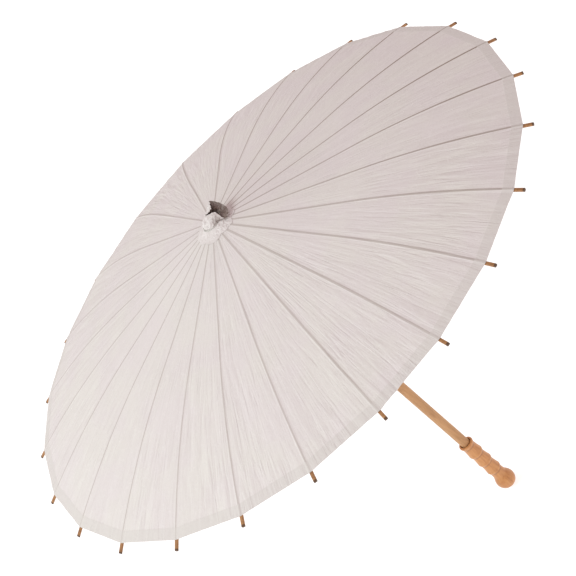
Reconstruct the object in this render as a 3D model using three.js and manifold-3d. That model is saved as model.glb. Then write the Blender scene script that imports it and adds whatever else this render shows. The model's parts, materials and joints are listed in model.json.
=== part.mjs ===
// Oil paper umbrella: a white paper canopy on 24 split-bamboo ribs, held open by 24 stretchers and a
// runner that slides on a wooden shaft. Millimetres. +Z runs up the shaft, and the origin is the
// centre of the flat end of the handle's knob. The umbrella is open.
import * as THREE from "three";
import { mergeVertices } from "three/addons/utils/BufferGeometryUtils.js";
import Module from "manifold-3d";

const wasm = await Module();
wasm.setup();

// ---- Driving dimensions ----
const ribCount = 24;
const spokeAngle = (2 * Math.PI) / ribCount;
const clearance = 0.35; // running gap between neighbouring pieces

// The folding linkage. A rib and its stretcher are two equal links, so the runner stays on the shaft.
const pivotHeight = 625.8; // ribs' hinge pins above the knob's end
const pivotRadius = 13; // hinge pins of ribs and stretchers, from the shaft's axis
const linkLength = 190; // from either hinge pin to the joint of rib and stretcher
const openSlope = THREE.MathUtils.degToRad(12); // ribs' inner half below level, when open
const runnerPivotHeight = pivotHeight - 2 * linkLength * Math.sin(openSlope);

// Ribs: straight to the joint, then bent down towards the tip.
const ribReach = 420.3; // from the hinge pin to the tip, along the straight half's line
const ribDroop = 23; // tip below that line
const ribDepth = 3;
const ribUnderside = 1.7; // above the line through hinge pin and joint
const ribTop = ribUnderside + ribDepth;
const ribWidth = 4.4;
const tongueThickness = 1.3; // thin inner ends of ribs and stretchers, in the slots
const tongueEnd = 10; // from the hinge pin to where a tongue starts to widen
const fullWidthFrom = 60; // from the hinge pin to where it has its full width
const ribTongueRadius = 2.2;
const pinHoleRadius = 0.8;
const earRadius = 2; // two ears under the rib hold the stretcher's outer end
const earHoleRadius = 1;
const earGap = 1.8;
const earHalfLength = 3;

// Stretchers
const stretcherDepth = 2.6;
const stretcherWidth = 3.4;
const stretcherTongueRadius = 2;
const stretcherTipThickness = 1.2;

// Shaft, notch, runner
const shaftRadius = 7.1;
const shaftTop = pivotHeight + 10;
const boreRadius = shaftRadius + clearance;
const headRadius = 16; // slotted heads of notch and runner
const slotRadius = 10.2; // bottom of the slots
const slotWidth = 1.9;
const grooveRadius = 12.2; // bottom of the groove for the hinge wire
const grooveHeight = 1.5;
const notchBelowPivot = 8;
const notchAbovePivot = 4;
const neckRadius = 12;
const neckTop = pivotHeight + 12;
const runnerAbovePivot = 8;
const runnerBelowPivot = 4;
const sleeveRadius = 10.5;
const sleeveLength = 40; // from the runner's hinge pins to the sleeve's lower end

// Wires, threads and the notch pin
const wireRadius = 0.4;
const threadRadius = 0.3;
const notchPinRadius = 1.2;
const notchPinHeight = pivotHeight + 8;

// Catch: a sprung slip of bamboo in a slot of the shaft, under the open runner
const catchLength = 44;
const catchWidth = 2;
const catchSlotWidth = 2.7;
const catchShoulder = 11.1; // how far the shoulder stands from the shaft's axis
const catchTop = runnerPivotHeight - sleeveLength - 0.5;
const catchFoot = catchTop - catchLength;

// Paper
const paperThickness = 0.6;
const paperGap = 0.35; // between the ribs' tops and the paper
const paperInnerRadius = 17;
const paperRadius = 410.5; // at the ribs, where the hem ends short of the tips

// Paper cap over the notch
const capInner = neckRadius + 0.7;
const capOuter = capInner + 1.2;
const capTop = pivotHeight + 22;
const capWaist = pivotHeight + 7.2;
const capSkirtRadius = 34;
const capThreadRadius = 0.45;

// Handle
const handleHeight = 105;
const knobRadius = 14.7;
const bumpRadius = 11.3;
const valleyRadius = 9.9;
const gripRadius = 10.1;
const lipRadius = 11.3;
const segmentCount = 3;
const segmentLength = 21;
const lowestBump = 39.4;
const socketDepth = 42;
const socketRadius = shaftRadius + 0.5;

// ---- Helpers ----

// A closed manifold solid from a closed three.js geometry.
function solid(geometry) {
  const bare = geometry.clone();
  bare.deleteAttribute("normal");
  bare.deleteAttribute("uv");
  const merged = mergeVertices(bare, 1e-4);
  return new wasm.Manifold(
    new wasm.Mesh({
      numProp: 3,
      vertProperties: new Float32Array(merged.attributes.position.array),
      triVerts: new Uint32Array(merged.index.array),
    }),
  );
}

// A three.js geometry from a manifold solid.
function geometryOf(manifold) {
  const mesh = manifold.getMesh();
  const geometry = new THREE.BufferGeometry();
  geometry.setAttribute("position", new THREE.BufferAttribute(mesh.vertProperties.slice(), 3));
  geometry.setIndex(new THREE.BufferAttribute(mesh.triVerts.slice(), 1));
  geometry.computeVertexNormals();
  return geometry;
}

// A flat outline in X and Y, made as thick as depth and centred on the XY plane.
function plate(outline, depth, curveSegments = 3) {
  const geometry = new THREE.ExtrudeGeometry(outline, { depth, bevelEnabled: false, curveSegments });
  return geometry.translate(0, 0, -depth / 2);
}

// A profile of [radius, height] pairs turned about Z.
function turned(profile, segments = ribCount) {
  const points = profile.map(([radius, height]) => new THREE.Vector2(radius, height));
  return new THREE.LatheGeometry(points, segments).rotateX(Math.PI / 2);
}

// A ring of wire or thread about Z, straight from rib to rib.
function ring(radius, thickness, height) {
  return new THREE.TorusGeometry(radius, thickness, 6, ribCount).translate(0, 0, height);
}

// A round hole, wound against the clockwise outlines below.
function hole(x, y, radius) {
  const path = new THREE.Path();
  path.absarc(x, y, radius, 0, 2 * Math.PI, false);
  return path;
}

// A strip's outline seen from above, from [distance, half width] pairs, as a tall solid about Y.
function planSolid(halfWidths, height) {
  const outline = new THREE.Shape();
  outline.moveTo(halfWidths[0][0], -halfWidths[0][1]);
  for (const [x, half] of halfWidths.slice(1)) outline.lineTo(x, -half);
  for (const [x, half] of [...halfWidths].reverse()) outline.lineTo(x, half);
  return solid(plate(outline, height).rotateX(Math.PI / 2));
}

// ---- Ribs and stretchers, in their own plane: X along the link, Y across it, Z its thickness ----

function ribGeometry() {
  const side = new THREE.Shape();
  const bend = (linkLength + ribReach) / 2;
  side.absarc(0, 0, ribTongueRadius, -Math.PI / 2, Math.PI / 2, true);
  side.lineTo(tongueEnd + 4, ribTop);
  side.lineTo(linkLength, ribTop);
  side.quadraticCurveTo(bend, ribTop, ribReach, ribTop - ribDroop);
  side.lineTo(ribReach, ribUnderside - ribDroop);
  side.quadraticCurveTo(bend, ribUnderside, linkLength + earRadius, ribUnderside);
  side.absarc(linkLength, 0, earRadius, 0, Math.PI, true);
  side.lineTo(linkLength - earRadius, ribUnderside);
  side.lineTo(tongueEnd + 4, ribUnderside);
  side.holes.push(hole(0, 0, pinHoleRadius), hole(linkLength, 0, earHoleRadius));
  const plan = planSolid(
    [
      [-ribTongueRadius - 1, tongueThickness / 2],
      [tongueEnd, tongueThickness / 2],
      [fullWidthFrom, ribWidth / 2],
      [ribReach + 1, ribWidth / 2],
    ],
    3 * ribDroop,
  );
  const slot = new THREE.BoxGeometry(2 * earHalfLength, 2 * ribUnderside, earGap);
  slot.translate(linkLength, 0, 0);
  const deepSlot = slot.clone().translate(0, -ribUnderside, 0);
  const body = solid(plate(side, 2 * ribWidth)).intersect(plan);
  return geometryOf(body.subtract(solid(slot)).subtract(solid(deepSlot)));
}

function stretcherGeometry() {
  const half = stretcherDepth / 2;
  const side = new THREE.Shape();
  side.absarc(0, 0, stretcherTongueRadius, -Math.PI / 2, Math.PI / 2, true);
  side.lineTo(tongueEnd, half);
  side.lineTo(linkLength, half);
  side.absarc(linkLength, 0, half, Math.PI / 2, -Math.PI / 2, true);
  side.lineTo(tongueEnd, -half);
  side.holes.push(hole(0, 0, pinHoleRadius), hole(linkLength, 0, pinHoleRadius));
  const plan = planSolid(
    [
      [-stretcherTongueRadius - 1, tongueThickness / 2],
      [tongueEnd, tongueThickness / 2],
      [fullWidthFrom, stretcherWidth / 2],
      [linkLength - 12, stretcherWidth / 2],
      [linkLength - 3.5, stretcherTipThickness / 2],
      [linkLength + 2, stretcherTipThickness / 2],
    ],
    4 * stretcherDepth,
  );
  return geometryOf(solid(plate(side, 2 * stretcherWidth)).intersect(plan));
}

// ---- Turned heads with a slot for every rib or stretcher ----

function slotted(head, lowEnd, highEnd) {
  const depth = headRadius + 2 - slotRadius;
  const cutter = new THREE.BoxGeometry(depth, slotWidth, highEnd - lowEnd);
  cutter.translate(slotRadius + depth / 2, 0, (lowEnd + highEnd) / 2);
  let result = head;
  for (let k = 0; k < ribCount; k += 1) {
    result = result.subtract(solid(cutter.clone().rotateZ(k * spokeAngle)));
  }
  return result;
}

function grooveSolid(height) {
  const half = grooveHeight / 2;
  return solid(
    turned([
      [grooveRadius, height - half],
      [headRadius + 2, height - half],
      [headRadius + 2, height + half],
      [grooveRadius, height + half],
      [grooveRadius, height - half],
    ]),
  );
}

function crossHole(radius, length, height) {
  return solid(new THREE.CylinderGeometry(radius, radius, length, 12).translate(0, 0, height));
}

function topNotchGeometry() {
  const low = pivotHeight - notchBelowPivot;
  const shoulder = pivotHeight + notchAbovePivot;
  const blank = solid(
    turned([
      [boreRadius, low],
      [headRadius - 1.5, low],
      [headRadius, low + 1.5],
      [headRadius, shoulder - 1],
      [headRadius - 1, shoulder],
      [neckRadius, shoulder],
      [neckRadius, neckTop],
      [boreRadius, neckTop],
      [boreRadius, low],
    ]),
  );
  const cut = slotted(blank.subtract(grooveSolid(pivotHeight)), low - 1, shoulder + 0.2);
  return geometryOf(cut.subtract(crossHole(notchPinRadius + 0.3, 4 * neckRadius, notchPinHeight)));
}

function runnerGeometry() {
  const low = runnerPivotHeight - sleeveLength;
  const shoulder = runnerPivotHeight - runnerBelowPivot;
  const top = runnerPivotHeight + runnerAbovePivot;
  const blank = solid(
    turned([
      [boreRadius, low],
      [sleeveRadius - 0.8, low],
      [sleeveRadius, low + 0.8],
      [sleeveRadius, shoulder - 4],
      [headRadius, shoulder],
      [headRadius, top - 1.5],
      [headRadius - 1.5, top],
      [boreRadius, top],
      [boreRadius, low],
    ]),
  );
  return geometryOf(slotted(blank.subtract(grooveSolid(runnerPivotHeight)), shoulder - 0.2, top + 1));
}

// ---- Shaft and its catch ----

function shaftGeometry() {
  const foot = handleHeight - socketDepth + 1;
  const stick = solid(
    turned([
      [0, foot],
      [shaftRadius - 0.8, foot],
      [shaftRadius, foot + 0.8],
      [shaftRadius, shaftTop - 0.8],
      [shaftRadius - 0.8, shaftTop],
      [0, shaftTop],
    ]),
  );
  const slotDepth = shaftRadius + 3;
  const slotHeight = catchLength + 3;
  const slot = new THREE.BoxGeometry(2 * slotDepth, catchSlotWidth, slotHeight);
  slot.translate(slotDepth - 3.5, 0, catchFoot + catchLength / 2);
  const pinHole = crossHole(notchPinRadius + 0.3, 4 * neckRadius, notchPinHeight);
  return geometryOf(stick.subtract(solid(slot)).subtract(pinHole));
}

function catchGeometry() {
  const outline = new THREE.Shape();
  const thickness = 2.2;
  const innerFace = 1.2;
  outline.moveTo(innerFace, 0);
  outline.lineTo(innerFace + thickness, 0);
  outline.lineTo(innerFace + thickness + 1.2, catchLength * 0.45);
  outline.lineTo(catchShoulder, catchLength - 3);
  outline.lineTo(catchShoulder, catchLength - 0.6);
  outline.lineTo(innerFace + 2.2, catchLength - 0.6);
  return plate(outline, catchWidth).rotateX(Math.PI / 2).translate(0, 0, catchFoot);
}

function notchPinGeometry() {
  return new THREE.CylinderGeometry(notchPinRadius, notchPinRadius, 2 * neckRadius - 1, 12).translate(
    0,
    0,
    notchPinHeight,
  );
}

// ---- Paper ----

// Height of the ribs' top line at a distance from the axis, and that much higher.
function ribTopHeight(radius, above) {
  const line = ribTop + above;
  let along = (radius - pivotRadius) / Math.cos(openSlope);
  let across = line;
  for (let step = 0; step < 6; step += 1) {
    const past = Math.max(0, (along - linkLength) / (ribReach - linkLength));
    across = line - ribDroop * past * past;
    along = (radius - pivotRadius - across * Math.sin(openSlope)) / Math.cos(openSlope);
  }
  return pivotHeight - along * Math.sin(openSlope) + across * Math.cos(openSlope);
}

function canopyGeometry() {
  const rings = [paperInnerRadius, 100, 199, 240, 280, 320, 350, 380, paperRadius];
  const under = rings.map((radius) => [radius, ribTopHeight(radius, paperGap)]);
  const over = rings.map((radius) => [radius, ribTopHeight(radius, paperGap + paperThickness)]);
  return turned([...under, ...over.reverse(), under[0]]);
}

function capGeometry() {
  const above = paperGap + paperThickness + clearance;
  const skirtFrom = headRadius + 2;
  const skirtThickness = 0.8;
  const skirtTop = ribTopHeight(skirtFrom, above) + 3.2;
  const hemTop = ribTopHeight(capSkirtRadius, above) + skirtThickness;
  return turned([
    [capInner, capTop],
    [capInner, capWaist - 1],
    [skirtFrom, skirtTop - skirtThickness],
    [capSkirtRadius, hemTop - skirtThickness],
    [capSkirtRadius, hemTop],
    [skirtFrom, skirtTop],
    [capOuter, capWaist],
    [capOuter, capTop],
    [capInner, capTop],
  ]);
}

// ---- Handle: a pear-shaped knob, three bamboo-like segments and a collar with a socket ----

function handleGeometry() {
  const outline = [
    [6.5, 0],
    [11, 1.8],
    [knobRadius - 0.8, 7],
    [knobRadius, 12],
    [knobRadius - 0.9, 17],
    [knobRadius - 2.8, 21.5],
    [knobRadius - 4.4, 26],
  ];
  for (let k = 0; k < segmentCount; k += 1) {
    const bump = lowestBump + k * segmentLength;
    outline.push([valleyRadius, bump - 4.5], [bumpRadius, bump]);
    outline.push([bumpRadius - 0.5, bump + 3.5], [gripRadius, bump + 10]);
  }
  outline.push([valleyRadius, handleHeight - 7.5], [lipRadius, handleHeight - 2.5]);
  const curve = new THREE.SplineCurve(outline.map(([radius, height]) => new THREE.Vector2(radius, height)));
  const skin = curve.getPoints(2 * (outline.length - 1)).map((point) => [point.x, point.y]);
  const socketFloor = handleHeight - socketDepth;
  const profile = [
    [0, 0],
    ...skin,
    [lipRadius - 0.8, handleHeight],
    [socketRadius + 1, handleHeight],
    [socketRadius, handleHeight - 1.5],
    [socketRadius, socketFloor],
    [0, socketFloor],
  ];
  return turned(profile, 16);
}

// ---- Assembly ----

const bamboo = 0xc08a4e;
const paleBamboo = 0xcf9f68;
const shaftWood = 0xc8925c;
const handleWood = 0xcf9155;
const darkWood = 0x6b4a32;
const paper = 0xe4deda;
const thread = 0xe9e2d8;
const steel = 0x9a9a98;

function named(name, geometry, color, roughness = 0.7, metalness = 0) {
  const mesh = new THREE.Mesh(geometry, new THREE.MeshStandardMaterial({ color, roughness, metalness }));
  mesh.name = name;
  return mesh;
}

// Stands a link's own plane upright on a spoke, with X sloping down by slope.
function placeLink(mesh, height, slope) {
  mesh.position.set(pivotRadius, 0, height);
  mesh.rotation.set(Math.PI / 2, slope, 0, "YXZ");
  return mesh;
}

const umbrella = new THREE.Group();
umbrella.add(
  named("shaft", shaftGeometry(), shaftWood, 0.6),
  named("handle", handleGeometry(), handleWood, 0.5),
  named("top_notch", topNotchGeometry(), darkWood),
  named("notch_pin", notchPinGeometry(), bamboo),
  named("notch_wire", ring(pivotRadius, wireRadius, pivotHeight), steel, 0.4, 1),
  named("runner", runnerGeometry(), shaftWood),
  named("runner_wire", ring(pivotRadius, wireRadius, runnerPivotHeight), steel, 0.4, 1),
  named("catch_spring", catchGeometry(), bamboo),
  named("canopy", canopyGeometry(), paper, 0.9),
  named("cap", capGeometry(), paper, 0.9),
);

const jointRadius = pivotRadius + linkLength * Math.cos(openSlope);
const jointHeight = pivotHeight - linkLength * Math.sin(openSlope);
umbrella.add(
  named("joint_thread", ring(jointRadius, threadRadius, jointHeight), thread, 0.9),
  named("cap_thread", ring(capOuter + 1, capThreadRadius, capWaist + 1.2), thread, 0.9),
);

const rib = ribGeometry();
const stretcher = stretcherGeometry();
for (let k = 0; k < ribCount; k += 1) {
  const number = String(k + 1).padStart(2, "0");
  const spoke = new THREE.Group();
  spoke.rotation.z = k * spokeAngle;
  spoke.add(
    placeLink(named(`rib_${number}`, rib.clone(), bamboo), pivotHeight, openSlope),
    placeLink(named(`stretcher_${number}`, stretcher.clone(), paleBamboo), runnerPivotHeight, -openSlope),
  );
  umbrella.add(spoke);
}

export default umbrella;
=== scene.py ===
"""Oil paper umbrella: the surfaces, materials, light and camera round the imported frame. Metres, +Z up
the shaft, with the origin at the end of the handle's knob."""
import json
import math

import bpy
import numpy as np
from mathutils import Matrix, Vector, noise


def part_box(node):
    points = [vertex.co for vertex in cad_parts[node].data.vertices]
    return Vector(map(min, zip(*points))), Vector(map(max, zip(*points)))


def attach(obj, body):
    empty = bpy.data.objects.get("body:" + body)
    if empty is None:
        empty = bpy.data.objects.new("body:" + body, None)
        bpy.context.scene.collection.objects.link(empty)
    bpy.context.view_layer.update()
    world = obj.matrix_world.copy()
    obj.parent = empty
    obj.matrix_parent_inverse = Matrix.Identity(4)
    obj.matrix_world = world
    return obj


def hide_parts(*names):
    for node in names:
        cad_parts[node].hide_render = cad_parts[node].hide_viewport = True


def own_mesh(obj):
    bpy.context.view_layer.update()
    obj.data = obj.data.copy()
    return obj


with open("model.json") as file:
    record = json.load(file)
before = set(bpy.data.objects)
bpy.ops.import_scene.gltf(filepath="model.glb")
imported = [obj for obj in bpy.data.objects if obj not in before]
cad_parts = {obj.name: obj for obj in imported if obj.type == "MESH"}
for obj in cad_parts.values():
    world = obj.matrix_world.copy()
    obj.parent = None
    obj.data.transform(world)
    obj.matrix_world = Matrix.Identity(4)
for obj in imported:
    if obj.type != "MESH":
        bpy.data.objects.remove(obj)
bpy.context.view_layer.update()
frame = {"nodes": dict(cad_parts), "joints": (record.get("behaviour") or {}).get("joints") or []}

# ---- The frame's driving sizes ----
MM = 0.001
RIBS = 24
STEP = 2 * math.pi / RIBS
HALF_STEP = STEP / 2
JOINTS = {joint["name"]: joint for joint in frame["joints"]}
HINGE = Vector(JOINTS["canopy_fold"]["pos_m"])  # first rib's hinge on the notch
ELBOW = Vector(JOINTS["stretcher_01_fold"]["pos_m"])  # where rib and stretcher meet
FOOT = Vector(JOINTS["runner_fold"]["pos_m"])  # first stretcher's hinge on the runner
LINK = (ELBOW - HINGE).length
SLOPE = math.atan2(HINGE.z - ELBOW.z, ELBOW.x - HINGE.x)
RIM_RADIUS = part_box("canopy")[1].x
SHAFT_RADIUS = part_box("shaft")[1].x
SHAFT_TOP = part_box("shaft")[1].z
HANDLE_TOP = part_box("handle")[1].z
NECK_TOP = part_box("top_notch")[1].z
HEAD_RADIUS = 16 * MM  # of the notch and of the runner
HEAD_CHAMFER = 1.2 * MM
NECK_RADIUS = 12 * MM

# Ribs: straight to the elbow, then bent down to the tip, as the frame has them
RIB_REACH = 420.3 * MM  # from the hinge to the tip, along the rib
RIB_DROOP = 23 * MM
RIB_TOP = 4.7 * MM
RIB_UNDERSIDE = 1.7 * MM
RIB_WIDTH = 4.4 * MM
TONGUE = 1.3 * MM
TONGUE_END = 10 * MM
FULL_WIDTH_FROM = 60 * MM
EAR_RADIUS = 2 * MM
EAR_GAP = 1.8 * MM
STRETCHER_DEPTH = 2.6 * MM
STRETCHER_WIDTH = 3.4 * MM

# Paper
PAPER_ABOVE_RIB = 0.62 * MM  # middle of the paper over the ribs' tops
PAPER_THICKNESS = 0.3 * MM
PAPER_INNER_RADIUS = 17 * MM
HEM_WIDTH = 15.5 * MM
# Painted shade: the lines over the ribs are darkest towards this side of the canopy.
PAINTED_SHADE_SIDE = math.radians(-30)  # where the lines over the ribs are darkest
WIDE_SIDE = math.radians(-112)  # where they are widest


# ---- Small helpers ----
def smoothstep(low, high, value):
    share = np.clip((value - low) / (high - low), 0, 1)
    return share * share * (3 - 2 * share)


def spoke_names():
    return [f"{k + 1:02d}" for k in range(RIBS)]


def rib_sag(along):
    """How far the rib has bent below its straight line."""
    past = np.clip((along - LINK) / (RIB_REACH - LINK), 0, None)
    return RIB_DROOP * past * past


def in_spoke(along, across):
    """Radius and height of a point of the rib's own plane."""
    radius = HINGE.x + along * math.cos(SLOPE) + across * math.sin(SLOPE)
    height = HINGE.z - along * math.sin(SLOPE) + across * math.cos(SLOPE)
    return radius, height


def along_at(radius, above):
    """Distance along the rib where a line so far above its top reaches radius."""
    table = np.linspace(0, RIB_REACH, 800)
    radii, _ = in_spoke(table, RIB_TOP + above - rib_sag(table))
    return float(np.interp(radius, radii, table))


def make_object(name, points, faces, material, smooth=True):
    mesh = bpy.data.meshes.new(name)
    mesh.from_pydata([tuple(p) for p in points], [], faces)
    mesh.validate()
    mesh.update()
    for polygon in mesh.polygons:
        polygon.use_smooth = smooth
    mesh.materials.append(material)
    obj = bpy.data.objects.new(name, mesh)
    bpy.context.scene.collection.objects.link(obj)
    return obj


def ring_faces(start, count, rings, closed=True):
    """Quads between rings of count points each, which follow each other from index start."""
    faces = []
    steps = count if closed else count - 1
    for i in range(rings - 1):
        for j in range(steps):
            a = start + i * count + j
            b = start + i * count + (j + 1) % count
            faces.append((a, b, b + count, a + count))
    return faces


def loft(rings):
    """Points and faces of a closed solid through rings of the same number of points."""
    count = len(rings[0])
    points = [p for ring in rings for p in ring]
    faces = ring_faces(0, count, len(rings))
    faces.append(tuple(reversed(range(count))))
    last = (len(rings) - 1) * count
    faces.append(tuple(range(last, last + count)))
    return points, faces


def join(*parts):
    """One list of points and faces from several."""
    points, faces = [], []
    for more_points, more_faces in parts:
        base = len(points)
        points += list(more_points)
        faces += [tuple(base + i for i in face) for face in more_faces]
    return points, faces


def turned(profile, segments, wobble=None):
    """A profile of (radius, height) pairs turned about Z; a wobble fades out near the axis."""
    rings = []
    for radius, height in profile:
        ring = []
        for j in range(segments):
            angle = 2 * math.pi * j / segments
            reach = radius if wobble is None else radius + wobble(angle, height) * min(1, radius / 0.003)
            ring.append((reach * math.cos(angle), reach * math.sin(angle), height))
        rings.append(ring)
    points = [p for ring in rings for p in ring]
    faces = ring_faces(0, segments, len(rings))
    return points, faces


def torus(radius, thickness, height, segments, sides, twist=0.0):
    """A ring about Z; twist turns its strands round it."""
    points, faces = [], []
    for i in range(segments):
        angle = 2 * math.pi * i / segments
        for j in range(sides):
            around = 2 * math.pi * j / sides + twist * angle
            strand = thickness * (1 + (0.14 * math.cos(2 * (around - twist * angle)) if twist else 0))
            reach = radius + strand * math.cos(around)
            rise = strand * math.sin(around)
            points.append((reach * math.cos(angle), reach * math.sin(angle), height + rise))
            a, b = i * sides + j, i * sides + (j + 1) % sides
            c, d = (a + sides) % (segments * sides), (b + sides) % (segments * sides)
            faces.append((a, c, d, b))
    return points, faces


def catmull(points, per_span):
    """A smooth line through points."""
    pts = [points[0], *points, points[-1]]
    out = []
    for i in range(1, len(pts) - 2):
        p0, p1, p2, p3 = (np.array(p, float) for p in pts[i - 1 : i + 3])
        for s in range(per_span):
            t = s / per_span
            out.append(
                tuple(0.5 * (2 * p1 + (p2 - p0) * t + (2 * p0 - 5 * p1 + 4 * p2 - p3) * t**2
                             + (3 * p1 - p0 - 3 * p2 + p3) * t**3))
            )
    out.append(tuple(points[-1]))
    return out


def crispen(obj, angle_degrees=35):
    """Smooth shading, with edges sharper than the angle kept sharp."""
    mesh = obj.data
    mesh.shade_smooth()
    mesh.set_sharp_from_angle(angle=math.radians(angle_degrees))
    return obj


# ---- Materials ----
class Nodes:
    """A node material built step by step."""

    def __init__(self, name, roughness, **constants):
        self.material = bpy.data.materials.new(name)
        self.material.use_nodes = True
        self.tree = self.material.node_tree
        self.shader = self.tree.nodes["Principled BSDF"]
        self.shader.inputs["Roughness"].default_value = roughness
        for key, value in constants.items():
            self.shader.inputs[key.replace("_", " ")].default_value = value
        self.where = self.tree.nodes.new("ShaderNodeTexCoord").outputs["Object"]

    def put(self, socket, value):
        if isinstance(value, bpy.types.NodeSocket):
            self.tree.links.new(value, socket)
        else:
            socket.default_value = value

    def scaled(self, scale, turn=(0, 0, 0)):
        node = self.tree.nodes.new("ShaderNodeMapping")
        node.inputs["Scale"].default_value = scale
        node.inputs["Rotation"].default_value = turn
        self.put(node.inputs["Vector"], self.where)
        return node.outputs["Vector"]

    def vector(self, operation, first, second=None, scale=None):
        node = self.tree.nodes.new("ShaderNodeVectorMath")
        node.operation = operation
        self.put(node.inputs[0], first)
        if second is not None:
            self.put(node.inputs[1], second)
        if scale is not None:
            next(i for i in node.inputs if i.name == "Scale").default_value = scale
        return node.outputs["Value" if operation == "LENGTH" else "Vector"]

    def polar(self, around, outward):
        """Where a point lies about the shaft, for marks that run along the ribs."""
        flat = self.vector("MULTIPLY", self.where, (1, 1, 0))
        turn = self.vector("SCALE", self.vector("NORMALIZE", flat), scale=around)
        reach = self.vector("LENGTH", flat)
        node = self.tree.nodes.new("ShaderNodeCombineXYZ")
        self.put(node.inputs["Z"], self.math("MULTIPLY", reach, outward))
        return self.vector("ADD", turn, node.outputs[0]), reach

    def noise(self, where, scale, detail=3, rough=0.55, distortion=0.0):
        node = self.tree.nodes.new("ShaderNodeTexNoise")
        self.put(node.inputs["Vector"], where)
        settings = {"Scale": scale, "Detail": detail, "Roughness": rough, "Distortion": distortion}
        for key, value in settings.items():
            node.inputs[key].default_value = value
        return node.outputs["Fac"]

    def math(self, operation, first, second=0.0):
        node = self.tree.nodes.new("ShaderNodeMath")
        node.operation = operation
        self.put(node.inputs[0], first)
        self.put(node.inputs[1], second)
        return node.outputs[0]

    def ramp(self, value, low, high, start=0.0, end=1.0):
        node = self.tree.nodes.new("ShaderNodeMapRange")
        node.clamp = True
        for key, number in (("From Min", low), ("From Max", high), ("To Min", start), ("To Max", end)):
            node.inputs[key].default_value = number
        self.put(node.inputs["Value"], value)
        return node.outputs["Result"]

    def attribute(self, name):
        node = self.tree.nodes.new("ShaderNodeAttribute")
        node.attribute_name = name
        return node.outputs["Fac"]

    def mix(self, share, first, second):
        node = self.tree.nodes.new("ShaderNodeMix")
        node.data_type = "RGBA"
        self.put(node.inputs["Factor"], share)
        for socket, colour in ((node.inputs[6], first), (node.inputs[7], second)):
            self.put(socket, colour if isinstance(colour, bpy.types.NodeSocket) else (*colour, 1))
        return node.outputs[2]

    def finish(self, colour, height=None, strength=0.3, distance=0.0003):
        self.put(self.shader.inputs["Base Color"], colour)
        if height is not None:
            bump = self.tree.nodes.new("ShaderNodeBump")
            bump.inputs["Strength"].default_value = strength
            bump.inputs["Distance"].default_value = distance
            self.put(bump.inputs["Height"], height)
            self.put(self.shader.inputs["Normal"], bump.outputs["Normal"])
        return self.material


def fibres(nodes, scale, turn, width):
    """Thin wandering lines, where a noise passes its middle value."""
    value = nodes.noise(nodes.scaled((1, 1, 1), turn), scale, detail=2, distortion=1.6)
    away = nodes.math("ABSOLUTE", nodes.math("SUBTRACT", value, 0.5))
    return nodes.ramp(away, 0.0, width, 1.0, 0.0)


def tinted(colour, *factors):
    return tuple(c * f for c, f in zip(colour, factors))


def paper_material(name, base, warm):
    """Thin oiled paper: a cloudy tone, long fibres and fine wrinkles that run along the ribs, with painted
    shade along the wrinkles and on the lines over the ribs.
    """
    nodes = Nodes(name, 0.88)
    cloud = nodes.ramp(nodes.noise(nodes.where, 17, detail=3), 0.38, 0.62)
    colour = nodes.mix(cloud, base, warm)
    where, reach = nodes.polar(44, 13)
    wide = nodes.noise(where, 1, detail=2, rough=0.55, distortion=1.3)
    where, _ = nodes.polar(120, 34)
    fine = nodes.noise(where, 1, detail=2, distortion=0.6)
    patchy = nodes.ramp(nodes.noise(nodes.where, 12, detail=1), 0.38, 0.62, 0.45, 1.0)
    worn = nodes.math("MULTIPLY", nodes.ramp(reach, 0.05, 0.38, 0.4, 1.15), patchy)
    wrinkles = nodes.math("ADD", nodes.math("MULTIPLY", wide, 0.8), nodes.math("MULTIPLY", fine, 0.2))
    wrinkles = nodes.math("MULTIPLY", nodes.math("SUBTRACT", wrinkles, 0.5), worn)
    # Painted shade: the paper is darkened along the wrinkles.
    painted_crease_shade = nodes.ramp(wrinkles, -0.12, 0.12)
    colour = nodes.mix(nodes.math("MULTIPLY", painted_crease_shade, 0.5), colour, tinted(base, 0.88, 0.86, 0.85))
    long_fibres = fibres(nodes, 45, (0.4, 0.2, 0), 0.02)
    short_fibres = fibres(nodes, 70, (1.1, 0.7, 0.4), 0.025)
    light = nodes.math("MAXIMUM", long_fibres, short_fibres)
    colour = nodes.mix(nodes.math("MULTIPLY", light, 0.16), colour, (0.9, 0.87, 0.85))
    # The lines over the ribs: the bamboo seen through the paper, with painted shade on one side of the
    # canopy.
    rib_line_and_shade = nodes.attribute("rib_line_and_painted_shade")
    colour = nodes.mix(rib_line_and_shade, colour, tinted(base, 0.36, 0.29, 0.235))
    colour = nodes.mix(nodes.attribute("hem"), colour, tinted(base, 0.87, 0.885, 0.85))
    grain = nodes.noise(nodes.where, 1400, detail=3)
    height = nodes.math("ADD", nodes.math("MULTIPLY", grain, 0.06), nodes.math("MULTIPLY", light, 0.05))
    height = nodes.math("ADD", height, wrinkles)
    return nodes.finish(colour, height, strength=1.0, distance=0.002)


def cap_material(name, base, shade_colour):
    """The cap's crumpled paper, with painted shade inside the collar and in its deepest fold."""
    nodes = Nodes(name, 0.85)
    cloud = nodes.ramp(nodes.noise(nodes.where, 90, detail=4), 0.35, 0.65)
    colour = nodes.mix(cloud, base, tinted(base, 0.88, 0.86, 0.85))
    spots = nodes.ramp(nodes.noise(nodes.where, 210, detail=3), 0.3, 0.62, 0.7, 1.0)
    # Painted shade inside the collar and in its fold, a little patchy.
    share = nodes.math("MULTIPLY", nodes.attribute("painted_shade"), spots)
    colour = nodes.mix(share, colour, shade_colour)
    crush = nodes.noise(nodes.where, 420, detail=4, distortion=1.0)
    return nodes.finish(colour, crush, strength=0.8, distance=0.001)


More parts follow.
